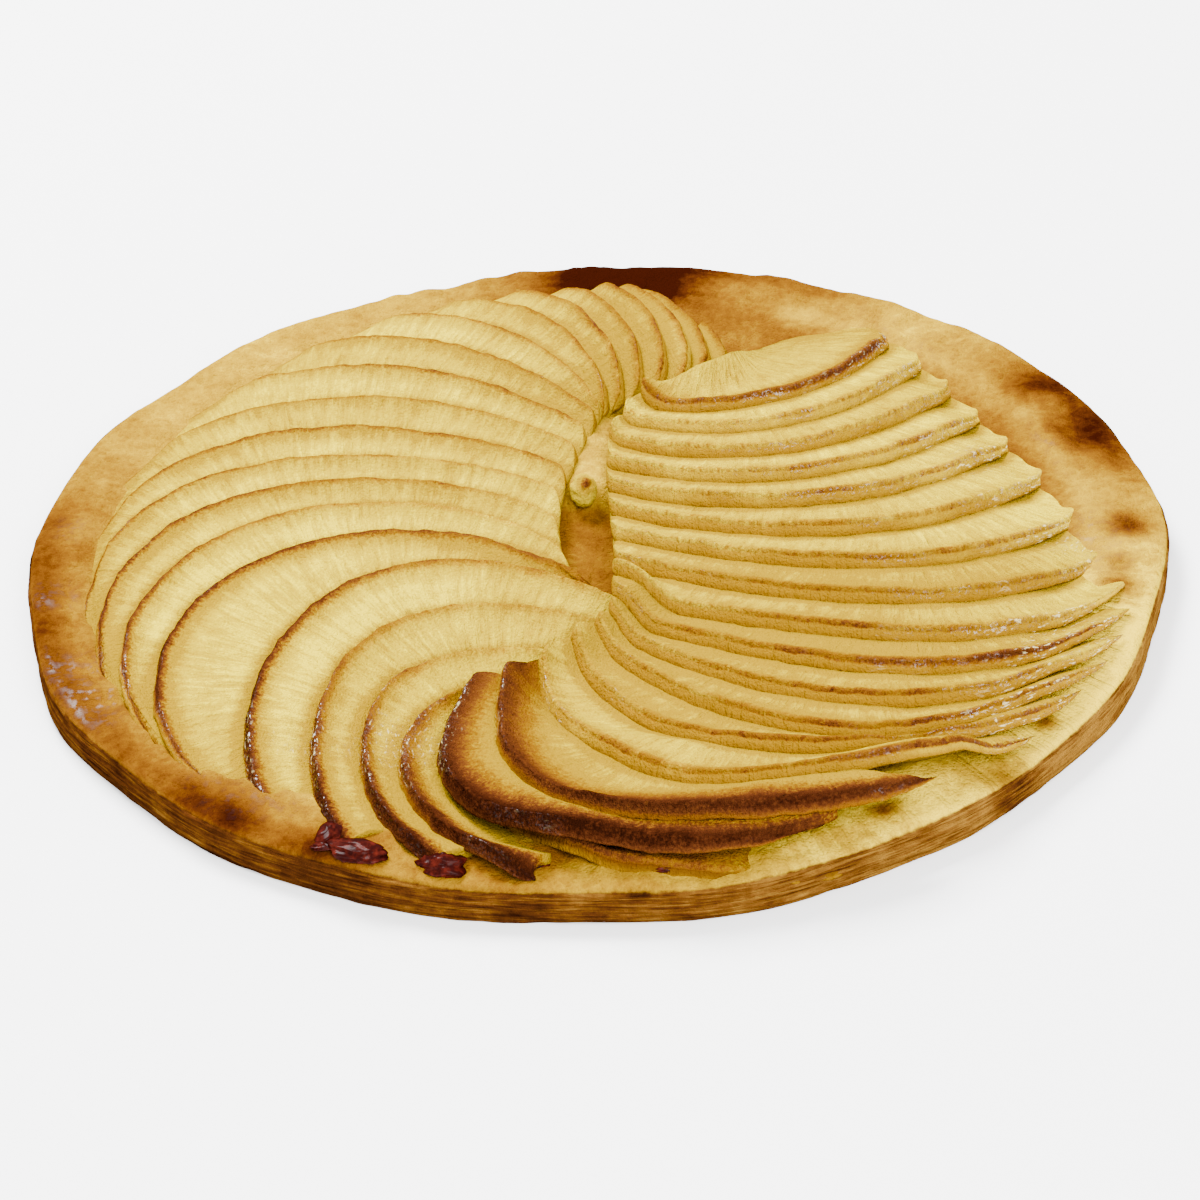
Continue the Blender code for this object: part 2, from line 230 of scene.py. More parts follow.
# How much browner the rim is than its bearing says, in the same way. The first three spots are painted shade
# on dough that the slices shade
RIM_SPOTS = (
    (-5.0, -72.5, 5.0, 0.45),
    (56.2, -59.1, 5.0, 0.22),
    (48.6, -62.7, 4.5, 0.22),
    (5.0, 79.0, 12.0, 0.5),
    (69.5, 38.5, 5.0, 0.35),
    (75.5, 24.5, 6.0, 0.35),
    (79.0, -3.0, 3.0, 0.6),
    (75.5, -19.0, 3.0, 0.6),
    (76.5, -13.0, 2.5, 0.35),
    (54.5, -63.5, 3.0, 0.3),
    (37.0, -70.5, 1.6, 0.6),
    (61.0, -51.5, 1.8, 0.6),
    (-56.0, -60.0, 5.0, 0.25),
    (-51.0, -65.0, 4.0, 0.3),
    (-39.0, -75.0, 5.0, 0.2),
    (-14.0, -78.0, 5.0, 0.15),
)

# Charred bits on the rim: x, y, half length, half breadth, half height, turn in degrees
CHARS = (
    (-37.8, -70.5, 2.4, 1.6, 1.0, 65.0),
    (-33.8, -74.6, 4.4, 2.3, 1.1, -22.0),
    (-38.4, -73.0, 1.8, 1.0, 0.4, 5.0),
    (-22.6, -77.6, 3.4, 2.4, 1.6, -20.0),
    (-25.6, -74.2, 2.0, 1.1, 1.3, -60.0),
    (-11.5, -77.8, 3.0, 1.5, 0.9, -8.0),
    (7.2, -80.6, 1.9, 1.2, 0.5, 0.0),
)

# Slices as they show
SLICE_BODY = 2.3
SLICE_SINK = 0.2
UNDER_SINK = 0.9
HIGHEST = 15.2
FACE_STEPS = 30
SLICE_STEPS = 170
EDGE_STEP = 0.12
LIP_RISE = 0.20
LIP_WIDTH = 0.9
FACE_DISH = 0.22
EDGE_WOBBLE = 0.34
# How far in from the curved edge its shoulder rounds
LEFT_ROUNDING = 0.55
UNDER_ROUNDING = 0.8
RIGHT_ROUNDING = 0.95
WALL_BULGE = 0.25
WALL_SLUMP = 0.75
FACE_RIPPLE = 0.20
CREST_SWAY = 0.30
FIBRE_RELIEF = 0.07
# How a slice's ends round off, and how its outer end narrows, thins and sinks
END_ROUNDING = 1.3
TIP_ROUNDING = 5.0
RIGHT_TIP_ROUNDING = 10.0
TIP_START = 0.74
RIGHT_TIP_START = 0.68
UNDER_TIP_START = 0.45
UNDER_TIP_DROP = 4.5
UNDER_BURY = 1.4
BACK_REACH = 0.985
RIGHT_REACH = 0.99
UNDER_REACH = 0.78
LEFT_NARROWING = ((0, 0.3), (14, 0.35), (16, 0.6), (19, 0.75))
UNDER_NARROWING = ((0, 0.3), (1, 0.3))
RIGHT_NARROWING = ((1, 0.985), (2, 0.985), (3, 0.8), (8, 0.4), (12, 0.2))
TIP_THINNING = 0.45
RIGHT_THINNINGS = ((1, 0.5), (4, 0.6), (8, 0.85))
TIP_BURY = 0.35
TIP_DROP = 2.4
RIGHT_TIP_DROPS = ((1, 0.5), (3, 0.6), (5, 1.2), (9, 3.0), (16, 4.0))

# Pastry as it shows
PASTRY_TURNS = 700
SIDE_STEPS = 36
LAYER_RELIEF = 0.45
RIM_BUMPS = 0.62
VALLEY_START = 12.0
VALLEY_END = 44.0
VALLEY_RISE = 3.6
# Distance from the centre and height of the dough there, round the tart and at the back
DOUGH_RISE = (
    (0.0, 2.4), (60.0, 2.4), (66.0, 4.2), (70.0, 5.7), (74.0, 6.4), (79.0, 6.7), (83.0, 6.3), (90.0, 6.0),
)
BACK_RISE = ((0.0, 2.4), (66.0, 2.4), (70.0, 3.2), (74.0, 4.8), (78.0, 6.0), (83.0, 6.3), (90.0, 6.0))
BACK_BEARINGS = (90.0, 112.0, 195.0, 220.0)
FOLD_RADIUS = 78.5
FOLD_WIDTH = 0.9
# How brown the dough runs near the fruit's edge: partly juice, partly painted shade
JUICE_AND_SHADE_BROWN = 0.30
FLOOR_BROWN = 0.58


def wander(angle, seed, waves):
    """Sum of sine waves round the tart with seeded phases, from about -1 to 1."""
    draw = np.random.default_rng(seed)
    phases = draw.uniform(0, 2 * np.pi, len(waves))
    total = sum(np.sin(n * angle + p) for n, p in zip(waves, phases))
    return total / np.sqrt(2.0 * len(waves))


def ease(t):
    """Smooth step from 0 to 1: 3 t squared less 2 t cubed."""
    t = np.clip(t, 0.0, 1.0)
    return t * t * (3 - 2 * t)


def lattice(u, v, seed):
    """Smooth noise from -1 to 1: seeded values on whole numbers, eased between the four nearest."""
    table = np.random.default_rng(seed).uniform(-1, 1, (64, 64))
    i, j = np.floor(u).astype(int), np.floor(v).astype(int)
    a, b = ease(u - i), ease(v - j)
    corners = [table[(i + p) % 64, (j + q) % 64] for p, q in ((0, 0), (1, 0), (0, 1), (1, 1))]
    low = corners[0] * (1 - a) + corners[1] * a
    high = corners[2] * (1 - a) + corners[3] * a
    return low * (1 - b) + high * b


def crumpled(u, v, seed, octaves=3):
    """Sum of lattice noises, each twice as fine and half as strong as the last."""
    return sum(lattice(u * 2**k, v * 2**k, seed + k) / 2**k for k in range(octaves)) / 1.5


def between(bearing, low, high, fade, far_fade):
    """1 where a bearing is well between two others, easing to 0 at each over its fade, degrees."""
    return ease((bearing - low) / fade) * ease((high - bearing) / far_fade)


def spots_at(spots, x, y):
    """Sum of soft round spots in plan: each is strength times e to the minus squared distance over
    squared radius."""
    return sum(s * np.exp(-((x - a) ** 2 + (y - b) ** 2) / r**2) for a, b, r, s in spots)


def rim_height(angle):
    return RIM_HEIGHT + RIM_LUMP * wander(angle, RIM_SEED, RIM_WAVES)


def pastry_top(x, y):
    """Height of the pastry's upper face: a flat floor that rises to the uneven rim."""
    distance = np.hypot(x, y)
    slope = ease((distance - RIM_FOOT_RADIUS) / (RIM_CREST_RADIUS - RIM_FOOT_RADIUS))
    return FLOOR_HEIGHT + (rim_height(np.arctan2(y, x)) - FLOOR_HEIGHT) * slope


def valley(x, y):
    """1 in the narrow valley between the two fans' inner ends, fading to 0 round it."""
    return ease((y - VALLEY_START) / 5) * ease((VALLEY_END - y) / 5) * np.exp(-((x / 7) ** 2))


def dough_top(x, y):
    """Height of the dough as it shows: it rises round the fruit to a broad crest, more gently at
    the back, with crumpled bumps, short creases across the rim and a fold along it in places."""
    distance = np.hypot(x, y)
    angle = np.arctan2(y, x)
    back = np.interp(np.degrees(angle) % 360, BACK_BEARINGS, (0, 1, 1, 0))
    rise = np.interp(distance, *zip(*DOUGH_RISE)) * (1 - back)
    rise = rise + np.interp(distance, *zip(*BACK_RISE)) * back
    rise = rise * rim_height(angle) / RIM_HEIGHT
    on_rim = ease((distance - 68) / 8)
    bumps = 0.8 * crumpled(x / 5.5 + 20, y / 5.5 + 20, 5, 4)
    bumps = bumps + 0.6 * crumpled(x / 13.0 + 20, y / 13.0 + 20, 25, 2)
    fold = np.exp(-(((distance - FOLD_RADIUS) / FOLD_WIDTH) ** 2))
    in_places = ease(lattice(angle * 5, 0.5 + 0 * angle, 17) * 2)
    creases = lattice(angle * 26, distance / 5.0, 15) * 0.5 - 0.5 * fold * in_places
    rise = rise + VALLEY_RISE * valley(x, y)
    return np.maximum(rise, FLOOR_HEIGHT * 0.9) + (0.1 + RIM_BUMPS * on_rim) * (bumps + creases * on_rim)


def through_keys(keys, column, number):
    """Smooth curve through one column of a table whose first column is the slice number."""
    at = np.array([row[0] for row in keys], float)
    value = np.array([row[column] for row in keys], float)
    step = np.diff(at)
    slope = np.diff(value) / step
    tangent = np.concatenate((slope[:1], slope[1:], slope[-1:]))
    tangent[1:-1] = (slope[:-1] * step[1:] + slope[1:] * step[:-1]) / (step[1:] + step[:-1])
    i = np.clip(np.searchsorted(at, number, side="right") - 1, 0, len(at) - 2)
    t = np.clip((number - at[i]) / step[i], 0.0, 1.0)
    start = (1 + 2 * t) * (1 - t) ** 2 * value[i] + t * (1 - t) ** 2 * step[i] * tangent[i]
    end = t * t * (3 - 2 * t) * value[i + 1] - t * t * (1 - t) * step[i] * tangent[i + 1]
    return start + end


def edge_curve(keys, number, share):
    """Plan point on a slice's curved edge: an arc over the chord between the slice's ends, with
    its bulge leaning to one end."""
    x0, y0, reach, bearing, bulge, lean = (through_keys(keys, c, number) for c in range(1, 7))
    x1 = reach * np.cos(np.radians(bearing))
    y1 = reach * np.sin(np.radians(bearing))
    length = np.hypot(x1 - x0, y1 - y0)
    along_x = (x1 - x0) / length
    along_y = (y1 - y0) / length
    radius = (length**2 / 4 + bulge**2) / (2 * bulge)
    half = 2 * np.arctan(2 * bulge / length)
    turn = half * (2 * share - 1)
    along = radius * np.sin(turn)
    out = radius * (np.cos(turn) - np.cos(half)) * (1 + lean * (2 * share - 1))
    return (
        (x0 + x1) / 2 + along * along_x + out * along_y,
        (y0 + y1) / 2 + along * along_y - out * along_x,
    )


def layers_at(layers, number, share):
    """How many slices lie on each other: fewer towards both ends."""
    at = [row[0] for row in layers]
    most = np.interp(number, at, [row[1] for row in layers])
    inner = np.interp(number, at, [row[2] for row in layers])
    middle = np.sin(np.pi * share) ** TAPER_POWER
    return most * (middle + (1 - middle) * (inner * (1 - share) + OUTER_TAPER * share))


def straight_side(layers, index, share):
    """Slice number at which slice index ends, where no slice lies under it any more."""
    number = np.full_like(share, index + 2.0)
    for _ in range(SETTLE_STEPS):
        number = index + layers_at(layers, number, share)
    return number


def soft_lower(a, b):
    """The lower of two values, rounded where they meet."""
    return -SOFTNESS * np.logaddexp(-a / SOFTNESS, -b / SOFTNESS)


def first_number(keys, index):
    """Slice number at a slice's curved edge, with the fan's uneven spacing."""
    return max(index + SPACING_WANDER * np.sin(SPACING_PACE * index), keys[0][0])


def slice_surface(fan, index, across, share):
    """Underside of slice index: across runs from its curved edge to its straight side."""
    keys, layers, first, ground = fan
    start = first_number(keys, index)
    number = start + across * (straight_side(layers, index, share) - start)
    x, y = edge_curve(keys, number, share)
    below = layers_at(layers, number, share) - (number - index)
    level = soft_lower(float(index - first), below)
    return x, y, on_map(ground, x, y) + SLICE_RISE * level


def on_map(height, x, y):
    """Height map read at plan points, blended between its cells."""
    last = height.shape[0] - 2
    u = (x + HALF_WIDTH) / CELL
    v = (y + HALF_WIDTH) / CELL
    i = np.clip(u.astype(int), 0, last)
    j = np.clip(v.astype(int), 0, last)
    a = u - i
    b = v - j
    low = height[j, i] * (1 - a) + height[j, i + 1] * a
    high = height[j + 1, i] * (1 - a) + height[j + 1, i + 1] * a
    return low * (1 - b) + high * b


def neighbours(height, radius):
    """The map moved by every whole cell within a radius."""
    cells = int(radius / CELL)
    span = range(-cells, cells + 1)
    near = [(p, q) for p in span for q in span if np.hypot(p, q) <= radius / CELL]
    return [np.roll(height, shift, (0, 1)) for shift in near]


def padded(height):
    """A smooth map that is nowhere lower than the given one."""
    widened = np.max(neighbours(height, PAD_RADIUS), axis=0)
    return np.mean(neighbours(widened, PAD_RADIUS), axis=0)


def cover(height, fan, indices):
    """The height map with a fan's slices laid on it."""
    across, share = np.meshgrid(*(np.linspace(0, 1, count) for count in COVER_SAMPLES))
    covered = height.copy()
    for index in indices:
        x, y, z = slice_surface(fan, index, across, LAST_SHARE * share)
        i = np.rint((x + HALF_WIDTH) / CELL).astype(int)
        j = np.rint((y + HALF_WIDTH) / CELL).astype(int)
        np.maximum.at(covered, (j, i), z + SLICE_THICKNESS)
    return covered


def grid_mesh(name, points, fields, material):
    """Piece from a grid of points, millimetres, rows by places round each row: quads between
    rows, and a fan on a middle point closes each end. Each field becomes a point attribute."""
    rows, places = points.shape[:2]
    number = np.arange(rows * places).reshape(rows, places)
    turned = np.roll(number, -1, axis=1)
    quads = np.stack((number[:-1], turned[:-1], turned[1:], number[1:]), axis=-1).reshape(-1, 4)
    ends = points[0].mean(axis=0), points[-1].mean(axis=0)
    spots = np.concatenate((points.reshape(-1, 3), np.array(ends))) * MM
    first = np.stack((turned[0], number[0], np.full(places, rows * places)), axis=-1)
    last = np.stack((number[-1], turned[-1], np.full(places, rows * places + 1)), axis=-1)
    corners = np.concatenate((quads.ravel(), first.ravel(), last.ravel()))
    sizes = np.concatenate((np.full(len(quads), 4), np.full(2 * places, 3)))
    mesh = bpy.data.meshes.new(name)
    mesh.vertices.add(len(spots))
    mesh.vertices.foreach_set("co", spots.astype(np.float32).ravel())
    mesh.loops.add(len(corners))
    mesh.loops.foreach_set("vertex_index", corners.astype(np.int32))
    mesh.polygons.add(len(sizes))
    starts = np.concatenate(((0,), np.cumsum(sizes)[:-1])).astype(np.int32)
    mesh.polygons.foreach_set("loop_start", starts)
    mesh.update(calc_edges=True)
    mesh.validate()
    for label, values in fields.items():
        flat = np.broadcast_to(values, (rows, places)).ravel()
        full = np.concatenate((flat, (flat[:places].mean(), flat[-places:].mean())))
        layer = mesh.attributes.new(label, "FLOAT", "POINT")
        layer.data.foreach_set("value", full.astype(np.float32))
    mesh.shade_smooth()
    mesh.materials.append(material)
    piece = bpy.data.objects.new(name, mesh)
    bpy.context.scene.collection.objects.link(piece)
    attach(piece, "root")
    return piece


class Socket:
    """A value in a material. Arithmetic on it adds the Math nodes that work the result out."""

    def __init__(self, tree, socket=None):
        self.tree = tree
        self.socket = socket

    def node(self, kind, inputs=None, output=0, stops=None, **settings):
        """Any node: its settings first, then values or links for its sockets by name or number."""
        new = self.tree.nodes.new("ShaderNode" + kind)
        for name, value in settings.items():
            setattr(new, name, value)
        if stops:
            ramp = new.color_ramp
            while len(ramp.elements) < len(stops):
                ramp.elements.new(1.0)
            for element, (place, colour) in zip(ramp.elements, stops):
                element.position = place
                element.color = (*colour, 1.0)
        for name, value in (inputs or {}).items():
            if isinstance(value, Socket):
                self.tree.links.new(value.socket, new.inputs[name])
            elif isinstance(value, tuple) and len(value) == 3 and new.inputs[name].type == "RGBA":
                new.inputs[name].default_value = (*value, 1.0)
            else:
                new.inputs[name].default_value = value
        return Socket(self.tree, new.outputs[output])

    def math(self, operation, *others):
        return self.node("Math", dict(enumerate((self, *others))), operation=operation)

    def __add__(self, other):
        return self.math("ADD", other)

    def __sub__(self, other):
        return self.math("SUBTRACT", other)

    def __mul__(self, other):
        return self.math("MULTIPLY", other)

    def __truediv__(self, other):
        return self.math("DIVIDE", other)

    def __rsub__(self, other):
        return (self * -1.0).math("ADD", other)

    __radd__ = __add__
    __rmul__ = __mul__

    def over(self, low, high):
        """0 below low, 1 above high, smooth between; the other way round if low is higher."""
        sockets = {"Value": self, "From Min": low, "From Max": high}
        return self.node("MapRange", sockets, interpolation_type="SMOOTHSTEP")

    def mix(self, low, high):
        """Colour low where this value is 0 and high where it is 1."""
        return self.node("Mix", {0: self, 6: low, 7: high}, 2, data_type="RGBA")

    def field(self, label):
        """A named point attribute as a number."""
        return self.node("Attribute", {}, 2, attribute_name=label)

    def noise(self, size, detail=2.0, roughness=0.5, stretch=(1.0, 1.0, 1.0), at=None):
        """Noise from 0 to 1 with lumps of a size in millimetres, on the object's own place."""
        place = at or self.node("TexCoord", {}, 3)
        scale = tuple(part / (size * (1.0 if at else MM)) for part in stretch)
        place = self.node("VectorMath", {0: place, 1: scale}, operation="MULTIPLY")
        sockets = {"Vector": place, "Scale": 1.0, "Detail": detail, "Roughness": roughness}
        return self.node("TexNoise", sockets)


def new_material(name, **constants):
    """Material with a Principled shader and its constants, and a Socket to start its maths from."""
    material = bpy.data.materials.new(name)
    material.use_nodes = True
    shader = material.node_tree.nodes["Principled BSDF"]
    for label, value in constants.items():
        shader.inputs[label.replace("_", " ")].default_value = value
    return material, shader, Socket(material.node_tree)


def join(value, shader, label):
    value.tree.links.new(value.socket, shader.inputs[label])


# Colours of the bake, palest first, as light reflected in red, green and blue
FACE_PALE = (0.56, 0.425, 0.0)
FACE_MID = (0.36, 0.248, 0.0)
FACE_GOLD = (0.23, 0.136, 0.0)
WALL_PALE = (0.45, 0.308, 0.0)
WALL_AMBER = (0.22, 0.112, 0.0)
WALL_FOOT = (0.18, 0.084, 0.0)
WALL_DEEP = (0.085, 0.034, 0.001)
BROWN_STOPS = (
    (0.00, (1.0, 1.0, 1.0)),
    (0.16, (0.80, 0.69, 1.0)),
    (0.32, (0.60, 0.42, 1.0)),
    (0.48, (0.43, 0.25, 1.0)),
    (0.64, (0.27, 0.125, 1.0)),
    (0.80, (0.135, 0.045, 1.0)),
    (1.00, (0.045, 0.011, 1.0)),
)
# Pale colour mixed into the fruit's base colour as painted highlights: glints along the lips
PAINTED_GLINT = (0.82, 0.70, 0.34)
BURN_STOPS = (
    (0.00, (0.34, 0.200, 0.0005)),
    (0.20, (0.28, 0.150, 0.0015)),
    (0.35, (0.17, 0.070, 0.0030)),
    (0.50, (0.098, 0.032, 0.0045)),
    (0.62, (0.068, 0.0195, 0.0042)),
    (0.76, (0.043, 0.0112, 0.0032)),
    (0.90, (0.027, 0.0062, 0.0020)),
    (1.00, (0.014, 0.0032, 0.0012)),
)
SIDE_STOPS = (
    (0.00, (0.20, 0.095, 0.012)),
    (0.30, (0.10, 0.038, 0.005)),
    (0.55, (0.050, 0.015, 0.003)),
    (0.80, (0.020, 0.0055, 0.0015)),
    (1.00, (0.008, 0.0018, 0.0008)),
)
PASTRY_STOPS = (
    (0.00, (0.60, 0.415, 0.010)),
    (0.20, (0.32, 0.192, 0.003)),
    (0.40, (0.19, 0.095, 0.002)),
    (0.55, (0.120, 0.047, 0.002)),
    (0.70, (0.078, 0.026, 0.002)),
    (0.85, (0.037, 0.0090, 0.0015)),
    (1.00, (0.014, 0.0022, 0.0006)),
)


def apple_material(name, shift):
    """Baked apple: pale fibrous face, amber wall, and an edge browned as its bake field says. The
    browning fades inward over its spread and down the wall, and mottle and grain break it up."""
    material, shader, s = new_material(name, Specular_IOR_Level=0.0, Coat_Roughness=0.2)
    edge = s.field("from_edge")
    bake = s.field("bake")
    spread = s.field("spread")
    along = s.field("along")
    foot = s.field("to_next")
    gold = s.field("gold")
    cloud = s.noise(9.0, 2.0)
    mottle = s.noise(1.6, 3.0, 0.6)
    fine = s.noise(0.35, 2.0, 0.6)
    thread = s.node("CombineXYZ", {0: along, 1: edge * 0.16, 2: shift})
    fibre = s.noise(0.9, 3.0, 0.6, at=thread)
    run = s.noise(1.0, 2.0, at=s.node("CombineXYZ", {0: along / 8.0, 1: shift}))
    speck = s.noise(0.7, 1.0, at=s.node("CombineXYZ", {0: along, 1: edge, 2: shift}))
    grain = s.noise(0.45, 1.0)
    rough = (fibre - 0.5) * 1.1 + (mottle - 0.5) * 1.6 + (grain - 0.5) * 2.2
    inward = ((edge + rough * (0.30 + 0.42 * spread)) / spread).over(1.5, 0.0)
    wall = edge.over(0.05, -0.5)
    burn = bake * bake * bake
    scorch = ((edge * -1.0 + (mottle - 0.5) * 1.0 + (fine - 0.5) * 0.6) / (burn * 3.4 + 0.22)).over(1.3, 0.1)
    reach = (1 - wall) * inward + wall * scorch
    patch = bake * (0.70 + 0.55 * mottle) + (run - 0.46) * (1.15 - bake) * 1.5 * bake.over(0.0, 0.25)
    patch = patch + speck.over(0.54, 0.68) * (1 - bake) * 0.2 + (grain - 0.5) * 0.6
    brown = reach * patch
    glow = (edge / (spread * 0.9 + 1.4)).over(2.0, 0.0)
    ripe_and_shade = gold + (cloud - 0.5) * 0.7 + (mottle - 0.5) * 0.5 + (fibre - 0.5) * 1.3 + (fine - 0.5) * 0.7
    # Painted shade: the face turns darker gold near the next slice's edge, at the foot of its wall, where
    # that slice shades it
    ripe_and_shade = ripe_and_shade + foot.over(3.4, 0.6) * 1.0 + glow * (bake * 1.0 + 0.05)
    pale = ripe_and_shade.over(0.0, 0.5).mix(FACE_PALE, FACE_MID)
    golden = ripe_and_shade.over(0.45, 1.0).mix(pale, FACE_GOLD)
    upper = (gold + (cloud - 0.5) * 0.6 + (mottle - 0.5) * 0.4).over(0.0, 0.6).mix(WALL_PALE, WALL_AMBER)
    # Walls go deep brown where gold runs high; on the under slice this is partly painted shade
    upper = gold.over(1.0, 1.8).mix(upper, WALL_DEEP)
    side = ((edge + (mottle - 0.5) * 1.2).over(-0.9, -2.3) * 0.85).mix(upper, WALL_FOOT)
    flesh = wall.mix(golden, side)
    tint = brown.node("ValToRGB", {0: brown}, stops=BROWN_STOPS)
    colour = s.node("Mix", {0: 1.0, 6: flesh, 7: tint}, 2, data_type="RGBA", blend_type="MULTIPLY")
    burnt = s.node("ValToRGB", {0: brown * 0.95}, stops=BURN_STOPS)
    baked = brown.over(0.25, 0.6).mix(colour, burnt)
    glaze = s.field("glaze")
    # Painted highlight: pale streaks where glaze lies and near the curved edge, standing in for glints
    glint_streak = s.noise(0.55, 2.0, 0.5, at=s.node("CombineXYZ", {0: along * 0.45, 1: edge * 1.3, 2: shift}))
    glint_zone = (glaze + edge.over(1.6, 0.0) * 0.35 + (cloud - 0.5) * 0.7).over(0.35, 0.9)
    join((glint_streak.over(0.60, 0.68) * glint_zone * 0.55).mix(baked, PAINTED_GLINT), shader, "Base Color")
    sheen = (glaze + edge.over(1.2, 0.0) * 0.45 + cloud * 0.5).over(0.6, 1.0)
    glint = sheen * fine.over(0.51, 0.57) * speck.over(0.42, 0.55)
    join(0.5 + 0.2 * mottle, shader, "Roughness")
    join(glint, shader, "Coat Weight")
    relief = fibre * 1.3 + fine * 0.7 + mottle * 0.6 + brown * fine * 0.8
    join(s.node("Bump", {"Height": relief, "Strength": 1.0, "Distance": 0.0006}), shader, "Normal")
    return material


def pastry_material():
    """Puff pastry: cream to mahogany by bearing, layered brown side, tan floor under the fruit.
    Pleats across the rim are noise on the direction from the centre, the same at any height."""
    material, shader, s = new_material("baked_pastry", Specular_IOR_Level=0.0, Coat_Roughness=0.32)
    brown = s.field("brown")
    side = s.field("side")
    cloud = s.noise(7.0, 3.0, 0.6)
    mottle = s.noise(1.4, 3.0, 0.6)
    fine = s.noise(0.4, 2.0, 0.6)
    layer = s.noise(0.38, 3.0, 0.65, stretch=(0.05, 0.05, 1.0))
    flat = s.node("VectorMath", {0: s.node("TexCoord", {}, 3), 1: (1.0, 1.0, 0.0)}, operation="MULTIPLY")
    pleat = s.noise(0.017, 2.0, at=s.node("VectorMath", {0: flat}, operation="NORMALIZE")) - 0.5
    pleat = pleat * s.field("pleats")
    value = brown + pleat * 0.3 + (cloud - 0.5) * 0.45 + (mottle - 0.5) * 0.35 + (fine - 0.5) * 0.15
    top = s.node("ValToRGB", {0: value}, stops=PASTRY_STOPS)
    leaf = 0.5 + (layer - 0.5) * 1.5 + (cloud - 0.5) * 0.8 + (mottle - 0.5) * 0.3 + (brown - 0.4) * 0.8
    leaves = s.node("ValToRGB", {0: leaf}, stops=SIDE_STOPS)
    join((side + (mottle - 0.5) * 0.6).over(0.3, 0.8).mix(top, leaves), shader, "Base Color")
    join(0.55 + 0.2 * mottle, shader, "Roughness")
    glaze = s.field("glaze")
    join(glaze.over(0.2, 1.0) * mottle.over(0.47, 0.62) * 0.35, shader, "Coat Weight")
    relief = mottle * 0.8 + fine * 0.6 + side * layer * 1.4 + pleat * 2.2
    join(s.node("Bump", {"Height": relief, "Strength": 1.0, "Distance": 0.0007}), shader, "Normal")
    return material


def nearest(keys, number, x, y):
    """Distance from plan points to a slice's curved edge, and how far along the edge the nearest
    place is: the closest of many points on it, put right along the edge's direction there."""
    share = np.linspace(-0.01, 1.0, 420)
    edge = np.stack(edge_curve(keys, number + 0 * share, share), axis=-1)
    run = np.gradient(edge, axis=0)
    step = np.hypot(run[:, 0], run[:, 1])
    place = np.cumsum(step)
    spots = np.stack((x.ravel(), y.ravel()), axis=-1)
    gap = (spots**2).sum(1)[:, None] + (edge**2).sum(1)[None, :] - 2 * spots @ edge.T
    closest = gap.argmin(axis=1)
    offset = spots - edge[closest]
    ahead = (offset * run[closest]).sum(1) / step[closest]
    away = np.sqrt(np.maximum((offset**2).sum(1) - ahead**2, 0.0))
    return away.reshape(x.shape), (place[closest] + ahead).reshape(x.shape)


def outer_end(slot, index):
    """How a slice's outer end goes: the share of the edge at which it stops and at which it starts
    to change, how much thinner it gets, how deep it may sink and how far that buries it, over what
    length it rounds off, and how much wider its browning gets."""
    if slot == "left_apple":
        stop = np.interp(index, (10, 14), (BACK_REACH, LAST_SHARE))
        wider = 0.5 if index > 15 else -0.45
        return stop, TIP_START, TIP_THINNING, TIP_DROP, TIP_BURY, TIP_ROUNDING, wider
    if slot == "right_apple":
        stop, wider = (LAST_SHARE, 0.0) if index < 3 else (RIGHT_REACH, -0.85)
        thinning = np.interp(index, *zip(*RIGHT_THINNINGS))
        drop = np.interp(index, *zip(*RIGHT_TIP_DROPS))
        return stop, RIGHT_TIP_START, thinning, drop, TIP_BURY, RIGHT_TIP_ROUNDING, wider
    return UNDER_REACH, UNDER_TIP_START, TIP_THINNING, UNDER_TIP_DROP, UNDER_BURY, TIP_ROUNDING, 0.0


